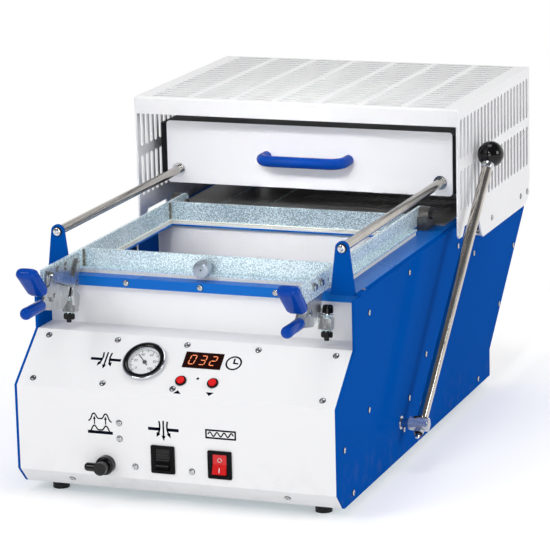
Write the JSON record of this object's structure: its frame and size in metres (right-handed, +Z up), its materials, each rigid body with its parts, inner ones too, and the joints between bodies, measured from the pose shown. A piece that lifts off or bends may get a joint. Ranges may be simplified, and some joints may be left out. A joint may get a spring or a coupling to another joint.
{
  "type": "dental vacuum former",
  "caption": "Desktop vacuum former with a hinged clamp frame, toggle clamps, a heater that slides out of a louvred hood on two rods, and a lever that lifts the forming table",
  "frame": {"origin": "middle of the footprint of the whole machine at rest, on the bench", "axes": "+Z up, -Y towards the operator, +X to the side with the hand lever"},
  "size_m": [0.4228, 0.742, 0.3633],
  "materials": {
    "blue_paint": "gloss powder coat",
    "white_paint": "satin powder coat",
    "zinc": "spangled zinc plate",
    "stainless": "ground bar",
    "polished_sheet": "mirror sheet",
    "chrome": "bright plate",
    "aluminium": "milled",
    "black_metal": "black paint",
    "black_gloss": "moulded gloss",
    "black_matt": "moulded",
    "blue_grip": "dipped vinyl",
    "red_gloss": "translucent red",
    "rubber_black": "moulded",
    "seal": "silicone strip",
    "ceramic": "glazed",
    "brass": "turned",
    "dial": "printed",
    "glass": "clear",
    "amber": "smoked window"
  },
  "bodies": {
    "base": {"side_panel_left": "blue_paint", "side_panel_right": "blue_paint", "control_panel": "white_paint", "base_plate": "zinc", "rear_panel": "white_paint", "feet": "rubber_black", "deck_plate": "blue_paint", "well_walls": "blue_paint", "shaft_bushes": "brass", "hood_cover": "white_paint", "hood_sides": "white_paint", "heat_shield": "polished_sheet", "rod_brackets": "blue_paint", "guide_rods": "stainless", "lower_seal": "seal", "hinge_blocks": "black_metal", "gauge_case": "chrome", "gauge_dial": "dial", "gauge_glass": "glass", "timer_module": "amber", "button_rings": "black_gloss", "switch_housings": "black_matt", "release_valve": "black_gloss", "case_screws": "stainless", "vacuum_pump": "black_metal", "vacuum_pipe": "rubber_black", "power_inlet": "black_matt", "guide_posts": "stainless"},
    "heater": {"heater_panel": "white_paint", "heater_box": "black_metal", "heater_bushes": "brass", "heater_reflector": "aluminium", "heater_elements": "ceramic", "heater_handle": "blue_grip"},
    "frame": {"clamp_frame": "zinc", "upper_seal": "seal", "frame_knob": "aluminium", "clamp_bodies": "zinc"},
    "table": {"table_plate": "aluminium", "table_yoke": "black_metal", "table_seal": "seal"},
    "lever": {"lever_hub": "chrome", "lever_rod": "stainless", "lever_ball": "black_gloss", "lift_shaft": "stainless", "lift_rollers": "black_matt"},
    "gauge_hand": {"gauge_needle": "black_matt"},
    "left_button": {"timer_button_left": "red_gloss"},
    "right_button": {"timer_button_right": "red_gloss"},
    "vacuum_switch": {"vacuum_rocker": "black_gloss"},
    "heater_switch": {"heater_rocker": "red_gloss"},
    "release": {"release_lever": "black_gloss"},
    "handle_left": {"clamp_handle_left": "zinc"},
    "link_left": {"clamp_link_left": "zinc"},
    "hook_left": {"clamp_hook_left": "zinc", "clamp_spindle_left": "rubber_black"},
    "handle_right": {"clamp_handle_right": "zinc"},
    "link_right": {"clamp_link_right": "zinc"},
    "hook_right": {"clamp_hook_right": "zinc", "clamp_spindle_right": "rubber_black"}
  },
  "joints": [
    {"name": "heater_slide", "type": "slide", "parent": "base", "child": "heater", "axis": [0, -1, 0], "range_m": [0, 0.308]},
    {"name": "frame_hinge", "type": "hinge", "parent": "base", "child": "frame", "pos_m": [-0.01536, 0.066, 0.238], "axis": [1, 0, 0], "range_deg": [-60, 0]},
    {"name": "lever_hinge", "type": "hinge", "parent": "base", "child": "lever", "pos_m": [0.18664, -0.122, 0.05], "axis": [1, 0, 0], "range_deg": [0, 65]},
    {"name": "table_lift", "type": "slide", "parent": "base", "child": "table", "axis": [0, 0, 1], "range_m": [0, 0.10008]},
    {"name": "handle_hinge_left", "type": "hinge", "parent": "frame", "child": "handle_left", "pos_m": [-0.15156, -0.313, 0.217], "axis": [-1, 0, 0], "range_deg": [0, 17.5]},
    {"name": "link_hinge_left", "type": "hinge", "parent": "handle_left", "child": "link_left", "pos_m": [-0.14926, -0.31635, 0.23874], "axis": [1, 0, 0], "range_deg": [0, 14.82]},
    {"name": "hook_hinge_left", "type": "hinge", "parent": "frame", "child": "hook_left", "pos_m": [-0.15156, -0.249, 0.2372], "axis": [1, 0, 0], "range_deg": [0, 16.7]},
    {"name": "handle_hinge_right", "type": "hinge", "parent": "frame", "child": "handle_right", "pos_m": [0.12084, -0.313, 0.217], "axis": [-1, 0, 0], "range_deg": [0, 17.5]},
    {"name": "link_hinge_right", "type": "hinge", "parent": "handle_right", "child": "link_right", "pos_m": [0.11854, -0.31635, 0.23874], "axis": [1, 0, 0], "range_deg": [0, 14.82]},
    {"name": "hook_hinge_right", "type": "hinge", "parent": "frame", "child": "hook_right", "pos_m": [0.12084, -0.249, 0.2372], "axis": [1, 0, 0], "range_deg": [0, 16.7]},
    {"name": "gauge_hand_hinge", "type": "hinge", "parent": "base", "child": "gauge_hand", "pos_m": [-0.05836, -0.29843, 0.1478], "axis": [0, 0.6296, -0.7769], "range_deg": [0, 270]},
    {"name": "vacuum_switch_hinge", "type": "hinge", "parent": "base", "child": "vacuum_switch", "pos_m": [-0.02816, -0.327, 0.0535], "axis": [1, 0, 0], "range_deg": [0, 20]},
    {"name": "heater_switch_hinge", "type": "hinge", "parent": "base", "child": "heater_switch", "pos_m": [0.03524, -0.327, 0.053], "axis": [1, 0, 0], "range_deg": [0, 20]},
    {"name": "release_hinge", "type": "hinge", "parent": "base", "child": "release", "pos_m": [-0.09236, -0.329, 0.043], "axis": [0, 1, 0], "range_deg": [0, 90]},
    {"name": "left_button_slide", "type": "slide", "parent": "base", "child": "left_button", "axis": [0, 0.6296, -0.7769], "range_m": [0, 0.0015], "stiffness_N_per_m": 400, "springref_m": -0.001},
    {"name": "right_button_slide", "type": "slide", "parent": "base", "child": "right_button", "axis": [0, 0.6296, -0.7769], "range_m": [0, 0.0015], "stiffness_N_per_m": 400, "springref_m": -0.001}
  ],
  "couplings": [
    {"joint": "table_lift", "follows": "lever_hinge", "m_per_rad": 0.088221},
    {"joint": "hook_hinge_left", "follows": "handle_hinge_left", "ratio": 0.95429},
    {"joint": "link_hinge_left", "follows": "handle_hinge_left", "ratio": 0.84685},
    {"joint": "hook_hinge_right", "follows": "handle_hinge_right", "ratio": 0.95429},
    {"joint": "link_hinge_right", "follows": "handle_hinge_right", "ratio": 0.84685}
  ]
}
